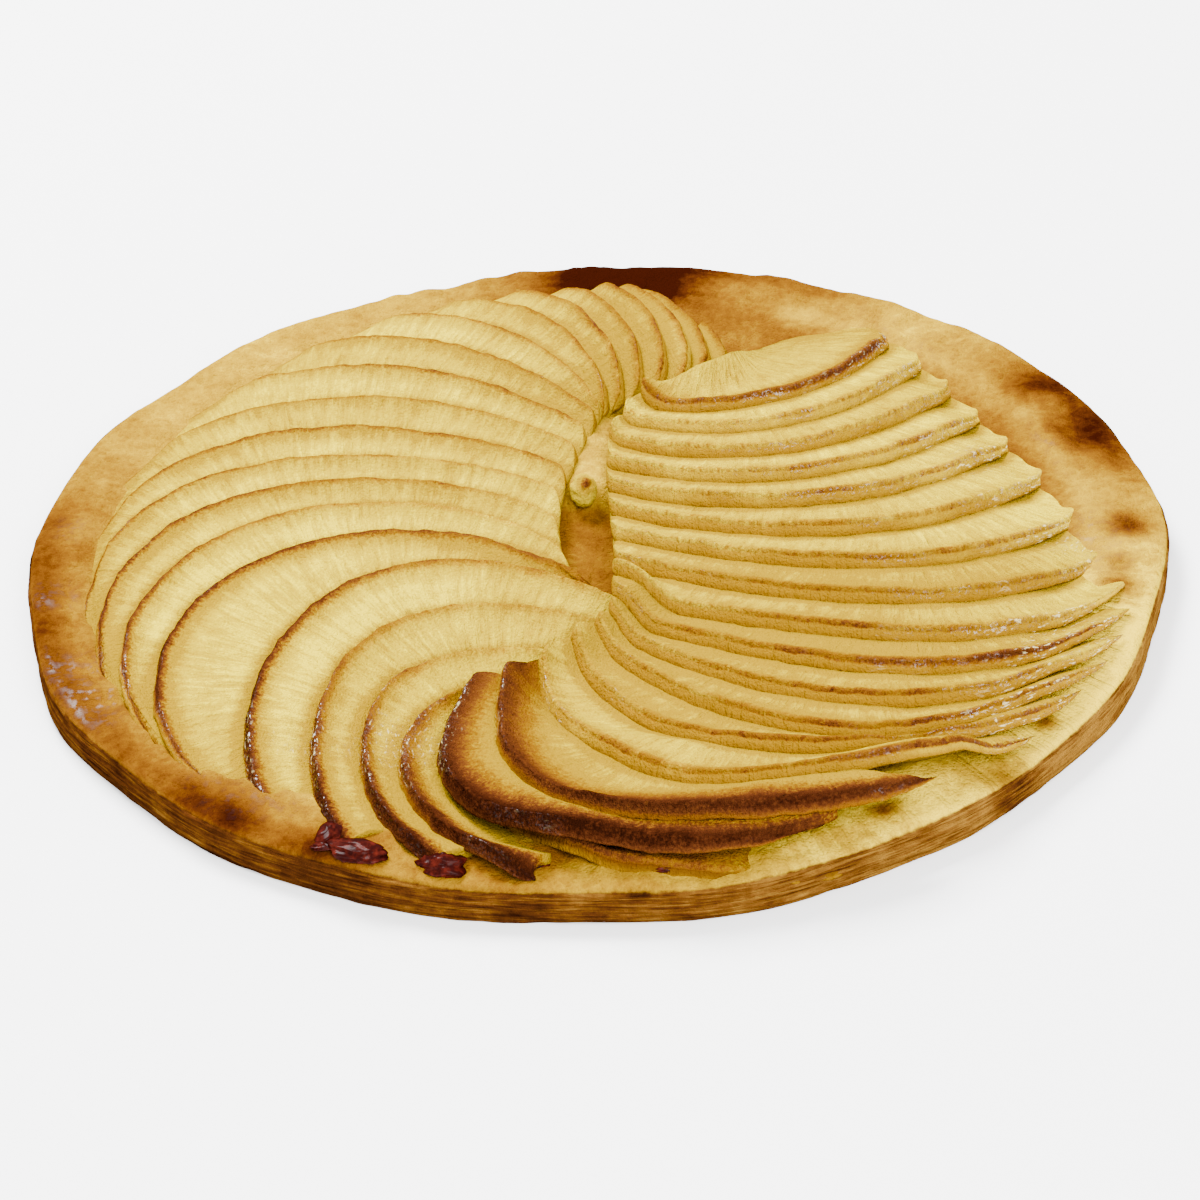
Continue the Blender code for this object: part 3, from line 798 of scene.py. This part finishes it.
def slice_piece(node, fan, index, bake, narrowing, rounding, material, slot, tone):
    """Slice as a closed loop carried along its curved edge. The loop runs over the face from the
    straight side to the edge, down the outer wall, back under the slice and up the inner wall.
    The face lifts to a rounded lip at the edge and ripples across, the outer end thins, narrows
    and sinks into the dough, and both ends round off. The second slice at the front right narrows
    evenly from half way, and the under slice stops short of the others."""
    crowd = np.linspace(0.0, 1.0, SLICE_STEPS)
    left, right = slot == "left_apple", slot == "right_apple"
    last, start, thinning, deepest, bury, tip_rounding, wider = outer_end(slot, index)
    share = last * (crowd - 0.05 * np.sin(2 * np.pi * crowd))[:, None]
    width = np.hypot(*(np.array(slice_surface(fan, index, 1.0 + 0 * share, share))
                       - np.array(slice_surface(fan, index, 0 * share, share)))[:2])
    tip = ease((share - start) / (last - start))
    taper = np.clip((share - 0.5) / (last - 0.5), 0, 1) if right and index == 2 else tip
    power = np.clip(np.log(width / EDGE_STEP) / np.log(FACE_STEPS), 1.0, 2.2)
    face = np.linspace(1.0, 0.0, FACE_STEPS)[None, :] ** power
    wall = np.array((0.12, 0.24, 0.38, 0.55, 0.75, 0.92, 1.0))
    under = np.linspace(0.0, 1.0, 8)[1:]
    rise = np.array((0.7, 0.35))
    sizes = (len(wall), len(under), len(rise))
    rest = np.concatenate((np.zeros(sizes[0]), under, np.ones(sizes[2])))[None, :] + 0 * share
    across = np.concatenate((face, rest), axis=1)
    drop = np.concatenate((np.zeros(FACE_STEPS), wall, np.ones(sizes[1]), rise))[None, :] + 0 * share
    outer = (across == 0) & (drop > 0)
    narrowed = across * (1 - np.interp(index, *zip(*narrowing)) * taper)
    x, y, z = slice_surface(fan, index, narrowed, share + 0 * across)
    edge_x, edge_y = x[:, FACE_STEPS - 1:FACE_STEPS], y[:, FACE_STEPS - 1:FACE_STEPS]
    run_x, run_y = np.gradient(edge_x, axis=0), np.gradient(edge_y, axis=0)
    step = np.hypot(run_x, run_y)
    out_x, out_y = run_y / step, -run_x / step
    length = np.cumsum(step, axis=0) - step[0]
    from_edge, along = nearest(fan[0], first_number(fan[0], index), x, y)
    to_next, _ = nearest(fan[0], first_number(fan[0], index + 1), x, y)
    edge_along = along[:, FACE_STEPS - 1:FACE_STEPS]
    body = SLICE_BODY * (1 - thinning * tip)
    slow = crumpled(edge_along / 7.0, 0.5, 40 + index)
    slow = slow + 1.1 * crumpled(edge_along / 17.0, 0.5, 300 + index, 1)
    quick = crumpled(edge_along / 1.6, 0.5, 60 + index, 3)
    wobble = EDGE_WOBBLE * (slow + (0.4 + 0.4 * bake[2]) * quick) * np.exp(-from_edge / 3.0)
    sway = CREST_SWAY * crumpled(edge_along / 10.0, 0.5, 240 + index) * np.exp(-from_edge / 5.0)
    bulge = np.where(outer, WALL_BULGE * np.sin(np.pi * drop) + WALL_SLUMP * drop**1.6, 0.0)
    shift = wobble + bulge
    ripple = FACE_RIPPLE * crumpled(along / 7.0, from_edge / 5.0, 80 + index)
    fibre = FIBRE_RELIEF * crumpled(along / 1.2, from_edge / 6.0, 120 + index, 3)
    ragged = 1 + 0.9 * crumpled(along / 2.2, 0.5, 160 + index)
    lip = LIP_RISE * np.exp(-((from_edge / LIP_WIDTH) ** 2)) * ragged
    dish = -FACE_DISH * np.exp(-(((from_edge - 2.6) / 1.6) ** 2))
    curve = np.clip(1 - from_edge / rounding, 0, 1) * (across < 0.5)
    shoulder = rounding * (1 - np.sqrt(1 - 0.98 * curve**2)) * np.clip(1.3 - tip, 0, 1)
    height = (1 - drop) * (body + (ripple + fibre + lip + dish + sway) * (1 - 0.6 * tip) - shoulder)
    foot = np.where((drop >= 1) & (from_edge < 1.0), -0.12, 0.06) * (drop >= 1)
    clear = z + body - dough_top(x, y) + bury
    sink = np.clip(clear, 0.0, deepest) * tip ** (3.0 if left else 1.3)
    sink = sink + SLICE_SINK + UNDER_SINK * (slot == "under_apple")
    level = np.minimum(z + height + foot - sink, HIGHEST)
    points = np.stack((x + shift * out_x, y + shift * out_y, level), axis=-1)
    near_end = np.minimum(length / END_ROUNDING, (length[-1] - length) / tip_rounding)
    keep = np.sqrt(np.clip(1 - (1 - np.clip(near_end, 0, 1)) ** 2, 0.02, 1))[..., None]
    keep = keep ** (1.0 if left else 1.0 + 0.7 * ease((share[..., None] - 0.5) / 0.3))
    middle = points.mean(axis=1, keepdims=True)
    middle = middle + (points[:, FACE_STEPS - 1:FACE_STEPS] - middle) * 0.6 * right * tip[..., None]
    points = middle + (points - middle) * keep
    places = np.array((0.0, 0.25, 0.5, 0.75, 1.0)) * LAST_SHARE
    closer = 1 - 0.55 * ease((share - 0.45) / 0.35) * (right and index < 3)
    # Painted shade: the left fan's outer tips, which lie in shade, turn more golden
    gold = spots_at(GOLD_SPOTS, x, y) + tone + 0.35 * tip * left
    # Partly painted shade: the under slice, which lies under right_slice_01, is darker gold, most at its
    # inner end
    gold = gold + (slot == "under_apple") * (2.3 - 1.4 * ease(share))
    # Painted shade: the inner wall and underside, which lie in shade, turn darker gold
    gold = gold + 0.6 * (drop > 0) * (across > 0.02)
    fields = {
        "from_edge": np.where(outer, -drop * SLICE_BODY, from_edge),
        "along": along + 37.0 * index,
        "bake": np.interp(share, places, bake[:5]),
        "spread": bake[5] * closer * (1 + wider * tip),
        "to_next": np.where((drop > 0) | (right and index == RIGHT_SLICES[-1]), 9.0, to_next),
        "gold": gold,
        "glaze": spots_at(GLAZE_SPOTS, x, y),
    }
    fields = {label: np.broadcast_to(values, x.shape)[:, ::-1] for label, values in fields.items()}
    piece = grid_mesh(node + "_baked", points[:, ::-1], fields, material)
    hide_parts(node)


def pastry_piece(material):
    """Pastry as rings carried round the tart: floor, slope to a bumpy rim, a rounded crest, a side
    of thin layers that step in and out with height, and a flat base. Its fields say how browned it
    is, by bearing and by spots and with juice and painted shade near the fruit's edge, where its
    side and its pleats are, and where glaze lies."""
    angle = np.linspace(0, 2 * np.pi, PASTRY_TURNS, endpoint=False)[None, :]
    top = np.concatenate((np.linspace(4, 62, 40), np.linspace(63, 83, 50)))[:, None]
    outline = RIM_RADIUS - OUTLINE_WANDER + OUTLINE_WANDER * wander(angle, OUTLINE_SEED, OUTLINE_WAVES)
    edge_x, edge_y = outline * np.cos(angle), outline * np.sin(angle)
    centre_x = (edge_x.max() + edge_x.min()) / 2
    centre_y = (edge_y.max() + edge_y.min()) / 2
    rim = rim_height(angle)
    high = dough_top(top * np.cos(angle), top * np.sin(angle))
    turn = np.linspace(0, 1, 7)[1:, None] * np.pi / 2
    crest_top = high[-1]
    gap = outline + 0.4 - 83.0
    crest_r = 83.0 + gap * np.sin(turn)
    crest_z = crest_top - (crest_top - 0.80 * rim) * (1 - np.cos(turn))
    level = np.linspace(0.78, 0.0, SIDE_STEPS)[:, None]
    layered = lattice(level * 11 + 0.6 * crumpled(angle * 3, 0 * angle, 9), angle * 9, 10)
    layered = layered + 0.5 * lattice(level * 23, angle * 30, 12)
    side_r = outline + 0.9 - LAYER_RELIEF * (0.55 - 0.5 * layered) - 0.3 * ease((0.15 - level) / 0.15)
    side_z = level * rim
    base_r = np.linspace(80, 4, 6)[:, None] + 0 * angle
    radius = np.concatenate((top + 0 * angle, crest_r, side_r, base_r))
    height = np.concatenate((high, crest_z, side_z, 0 * base_r))
    points = np.stack((radius * np.cos(angle), radius * np.sin(angle), height), axis=-1)
    shift = ease((radius - 74) / 8)[..., None]
    points -= shift * np.array((centre_x, centre_y, 0.0))
    bearing = np.degrees(angle) % 360
    bake = np.interp(bearing, np.arange(0, 361, 12), RIM_BROWN + RIM_BROWN[:1])
    over_crest = np.linspace(0, 1, 6)[:, None] ** 2 * 0.7
    down = np.concatenate((np.zeros((len(top), 1)), over_crest, np.ones((SIDE_STEPS + 6, 1))))
    inner = np.concatenate((ease((74 - top) / 6), np.zeros((12 + SIDE_STEPS, 1))))
    near = ease((77.5 - radius) / 4)
    left = between(bearing, 160, 250, 15, 10)
    back = between(bearing, 5, 34, 8, 8) + 0.6 * between(bearing, 52, 86, 8, 8)
    outside = (0.24 * left + 0.24 * back) * ease((radius - 78) / 4.5) * (1 - down)
    front = between(bearing, 278, 356, 14, 14)
    past_back = ease((bearing - 100) / 8)
    # Dough near the fruit's edge turns browner: partly juice, partly painted shade where the slices shade it,
    # less at the front
    juice_and_shade = bake + near * (JUICE_AND_SHADE_BROWN - 0.28 * front - bake) * past_back
    soaked_and_shaded = near * np.clip(JUICE_AND_SHADE_BROWN - bake, -0.25, 1)
    juice_and_shade = juice_and_shade + soaked_and_shaded * (1 - past_back) * (1 - ease((bearing - 60) / 10))
    x, y = points[..., 0], points[..., 1]
    floor = FLOOR_BROWN - 0.36 * valley(x, y) * ease((y + 10) / 20)
    fields = {
        "brown": (juice_and_shade + spots_at(RIM_SPOTS, x, y)) * (1 - inner) + floor * inner + outside,
        "side": down + 0 * angle,
        "pleats": front * ease((radius - 75) / 3) * (1 - down),
        "glaze": (0.15 + spots_at(GLAZE_SPOTS, x, y)) * (1 - down) * (1 - inner),
    }
    fields = {label: values[::-1] for label, values in fields.items()}
    piece = grid_mesh("pastry_baked", points[::-1], fields, material)
    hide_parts("pastry")


def lump(name, centre, radii, turn, seed, roughness, material, slot, **values):
    """Closed lump: a ball with crumpled noise on it, squashed to its radii and turned in plan. Each
    field goes from its low value to its high one in a soft spot on top, towards the front."""
    tilt = np.linspace(-np.pi / 2, np.pi / 2, 26)[1:-1, None]
    angle = np.linspace(0, 2 * np.pi, 44, endpoint=False)[None, :]
    ball = np.stack(
        (np.cos(tilt) * np.cos(angle), np.cos(tilt) * np.sin(angle), np.sin(tilt) + 0 * angle), axis=-1
    )
    rough = 1 + roughness * crumpled(ball[..., 0] * 2 + 9, ball[..., 1] * 2 + 9 + ball[..., 2] * 3, seed)
    size = ball * rough[..., None] * radii
    c, s = np.cos(turn), np.sin(turn)
    wide, deep, tall = size[..., 0], size[..., 1], size[..., 2]
    points = np.stack((wide * c - deep * s, wide * s + deep * c, tall), axis=-1)
    blob = np.exp(-((ball[..., 0] - 0.2) ** 2 + (ball[..., 1] + 0.5) ** 2 + (ball[..., 2] - 0.8) ** 2) / 0.45)
    fields = {label: low + (high - low) * blob for label, (low, high) in values.items()}
    return grid_mesh(name, points + centre, fields, material)


def char_material():
    """Charred fruit sugar: glossy burgundy, nearly black in places."""
    constants = {"Specular_IOR_Level": 0.0, "Coat_Weight": 0.05, "Coat_Roughness": 0.15}
    material, shader, s = new_material("charred_sugar", **constants)
    mottle = s.noise(1.3, 3.0, 0.6)
    join(mottle.over(0.40, 0.75).mix((0.012, 0.0012, 0.0009), (0.050, 0.0058, 0.0030)), shader, "Base Color")
    join(0.3 + 0.3 * mottle, shader, "Roughness")
    join(s.node("Bump", {"Height": mottle, "Strength": 0.8, "Distance": 0.0004}), shader, "Normal")
    return material


def dress():
    """Makes every piece: the pastry, each fan laid on the height map of what lies under it, the
    charred bits and the scrap."""
    pastry_piece(pastry_material())
    axis = np.arange(-HALF_WIDTH, HALF_WIDTH + CELL / 2, CELL)
    x, y = np.meshgrid(axis, axis)
    clearance = RIM_CLEARANCE * ease((np.hypot(x, y) - CLEARANCE_START) / CLEARANCE_GROWTH)
    laid = pastry_top(x, y) + clearance
    stack = (
        ("left", LEFT_FAN, LEFT_LAYERS, LEFT_SLICES, LEFT_BAKE, LEFT_NARROWING, LEFT_ROUNDING),
        ("under", UNDER_FAN, UNDER_LAYERS, UNDER_SLICES, UNDER_BAKE, UNDER_NARROWING, UNDER_ROUNDING),
        ("right", RIGHT_FAN, RIGHT_LAYERS, RIGHT_SLICES, RIGHT_BAKE, RIGHT_NARROWING, RIGHT_ROUNDING),
    )
    for label, keys, layers, indices, bakes, narrowing, rounding in stack:
        ground = (laid if label == "left" else padded(laid)) + SLICE_GAP
        fan = (keys, layers, indices[0], ground)
        shift = 9.0 * rounding
        material = apple_material(label + "_apple_baked", shift)
        for index, bake in zip(indices, bakes):
            tone = 0.12 * np.sin(2.7 * index + shift)
            node = f"{label}_slice_{index + 1 - indices[0]:02d}"
            crust = rounding * (0.45 if label == "right" and index < 3 else 1.0)
            slice_piece(node, fan, index, bake, narrowing, crust, material, label + "_apple", tone)
        laid = cover(laid, fan, indices)
    char = char_material()
    for number, (x, y, length, breadth, height, turn) in enumerate(CHARS):
        spot = np.array((x, y, float(dough_top(np.array(x), np.array(y))) + 0.15))
        lump(f"charred_bit_{number + 1:02d}", spot, (length, breadth, height), np.radians(turn),
             200 + number, 0.28, char, "left_apple")
    scrap_low, scrap_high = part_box("centre_scrap")
    centre = np.array((scrap_low + scrap_high) / 2) / MM
    radii = np.array((scrap_high - scrap_low) / 2) / MM
    scrap_apple = apple_material("scrap_apple_baked", 3.0)
    piece = lump("centre_scrap_baked", centre, radii * 0.95, 0.0, 3, 0.15, scrap_apple, "scrap_apple",
                 from_edge=(3.0, 0.3), along=(3.0, 3.0), bake=(0.1, 0.8), spread=(1.0, 1.0),
                 to_next=(5.0, 5.0), gold=(0.2, 0.8), glaze=(0.2, 0.2))
    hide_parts("centre_scrap")


# Camera: how far from the tart, how high, how it is rolled, and where it looks past the centre
CAMERA_DISTANCE = 593.9
CAMERA_RISE = np.radians(33.02)
CAMERA_ROLL = np.radians(-2.7)
CAMERA_FOCUS = 119.03
CAMERA_AIM = (0.0008, -0.0153)  # tangents of the turn to the right and up


def studio():
    """Pale floor, a large soft light from behind and above, and pale light all round."""
    bpy.ops.mesh.primitive_plane_add(size=12.0, location=(0, 0, CAD_BOX[0].z - 0.0001))
    floor = bpy.context.object
    floor.name = "floor"
    material, shader, _ = new_material("pale_floor", Roughness=0.9, Specular_IOR_Level=0.1)
    shader.inputs["Base Color"].default_value = (0.9, 0.9, 0.9, 1.0)
    floor.data.materials.append(material)
    for name, spot, size, power in (
        ("back_light", (-0.30, 0.50, 0.78), 0.42, 44.0),
        ("front_fill", (0.25, -0.75, 0.80), 0.8, 42.0),
    ):
        lamp = bpy.data.lights.new(name, "AREA")
        lamp.size = size
        lamp.energy = power
        thing = bpy.data.objects.new(name, lamp)
        thing.location = spot
        thing.rotation_euler = (-Vector(spot)).to_track_quat("-Z", "Y").to_euler()
        bpy.context.scene.collection.objects.link(thing)
    world = bpy.data.worlds.new("studio")
    world.use_nodes = True
    world.node_tree.nodes["Background"].inputs[0].default_value = (1.0, 1.0, 1.0, 1.0)
    world.node_tree.nodes["Background"].inputs[1].default_value = 1.8
    bpy.context.scene.world = world


def camera():
    """Camera on a sphere round the tart's centre, rolled, and turned a little below it."""
    cos, sin = np.cos(CAMERA_RISE), np.sin(CAMERA_RISE)
    ahead = Vector((0, cos, -sin))
    level, up = Vector((1, 0, 0)), Vector((0, sin, cos))
    right = level * np.cos(CAMERA_ROLL) + up * np.sin(CAMERA_ROLL)
    over = up * np.cos(CAMERA_ROLL) - level * np.sin(CAMERA_ROLL)
    view = (ahead + CAMERA_AIM[0] * right + CAMERA_AIM[1] * over).normalized()
    right = (right - right.dot(view) * view).normalized()
    over = right.cross(view)
    lens = bpy.data.cameras.new("camera")
    lens.lens = CAMERA_FOCUS
    lens.clip_start = 0.01
    thing = bpy.data.objects.new("camera", lens)
    place = (Vector((0, 0, RIM_HEIGHT)) - ahead * CAMERA_DISTANCE) * MM
    turn = Matrix((right, over, -view)).transposed().to_4x4()
    thing.matrix_world = Matrix.Translation(place) @ turn
    bpy.context.scene.collection.objects.link(thing)
    bpy.context.scene.camera = thing


dress()
studio()
camera()
bpy.context.view_layer.update()
